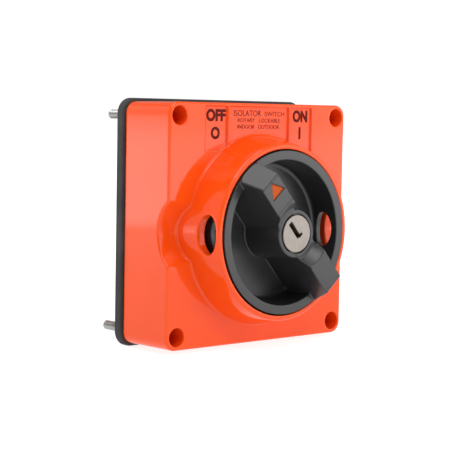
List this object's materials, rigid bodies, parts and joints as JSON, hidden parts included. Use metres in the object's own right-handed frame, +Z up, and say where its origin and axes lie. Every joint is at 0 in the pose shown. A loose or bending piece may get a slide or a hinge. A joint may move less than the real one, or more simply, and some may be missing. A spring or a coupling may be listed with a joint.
{
  "type": "rotary isolator switch",
  "caption": "Square orange front cover with a key-lockable rotary isolator knob, padlock holes in its collar and a switch mechanism behind.",
  "frame": {"origin": "centre of the rear mounting face, on the back of the gasket", "axes": "+Z up, front towards -Y, +X to the right as seen from the front"},
  "size_m": [0.1038, 0.077, 0.1038],
  "materials": {
    "cover_plastic": "glossy moulded thermoplastic, orange",
    "gasket_rubber": "matt foam-filled rubber, dark grey",
    "plated_steel": "zinc-plated steel",
    "washer_nylon": "natural nylon",
    "legend_paint": "dark red filling in a shallow recess",
    "knob_plastic": "satin dark-grey plastic with a fine grain",
    "pointer_plastic": "orange inlay, matt",
    "seal_rubber": "black sealing rubber",
    "spring_steel": "hardened spring steel",
    "bearing_nylon": "natural nylon, waxy",
    "rotor_plastic": "black thermoset",
    "lock_nickel": "nickel-plated, bead-blasted face",
    "lock_brass": "bare brass",
    "case_plastic": "light grey thermoset, satin",
    "contact_copper": "bare copper alloy"
  },
  "bodies": {
    "housing": {"front_cover": "cover_plastic", "cover_collar": "cover_plastic", "corner_posts": "cover_plastic", "cover_walls": "cover_plastic", "cover_gasket": "gasket_rubber", "cover_screws": "plated_steel", "screw_washers": "washer_nylon", "off_legend": "legend_paint", "on_legend": "legend_paint", "knob_bearing": "bearing_nylon", "latch_housing": "case_plastic", "latch_cover": "case_plastic", "detent_springs": "spring_steel", "pole_body_front": "case_plastic", "pole_body_rear": "case_plastic", "rear_cap": "case_plastic", "fixed_contacts": "contact_copper", "terminal_cages": "plated_steel", "terminal_screws": "plated_steel", "mechanism_screws": "plated_steel"},
    "knob_assembly": {"knob": "knob_plastic", "knob_handle": "knob_plastic", "pointer_inlay": "pointer_plastic", "knob_seal": "seal_rubber", "retaining_ring": "spring_steel", "lock_shell": "lock_nickel", "spindle_adaptor": "rotor_plastic", "adaptor_pins": "plated_steel", "grub_screw": "spring_steel", "spindle": "plated_steel", "detent_cam": "rotor_plastic", "rotor_front": "rotor_plastic", "rotor_rear": "rotor_plastic", "moving_contacts": "contact_copper", "contact_springs": "spring_steel"},
    "lock_core": {"lock_plug": "lock_nickel", "lock_wafers": "lock_brass", "lock_tailpiece": "lock_brass"},
    "lock_slider": {"lock_bolt": "lock_brass"}
  },
  "joints": [
    {"name": "knob_turn", "type": "hinge", "parent": "housing", "child": "knob_assembly", "pos_m": [0, 0, -0.0029], "axis": [0, 1, 0], "range_deg": [0, 82], "deforming": ["detent_springs"]},
    {"name": "lock_plug_turn", "type": "hinge", "parent": "knob_assembly", "child": "lock_core", "pos_m": [0, 0, -0.0029], "axis": [0, 1, 0], "range_deg": [0, 90]},
    {"name": "lock_bolt_slide", "type": "slide", "parent": "knob_assembly", "child": "lock_slider", "axis": [0, 0, -1], "range_m": [0, 0.00297]}
  ],
  "couplings": [
    {"joint": "lock_plug_turn", "follows": "lock_bolt_slide", "rad_per_m": 528.8}
  ]
}
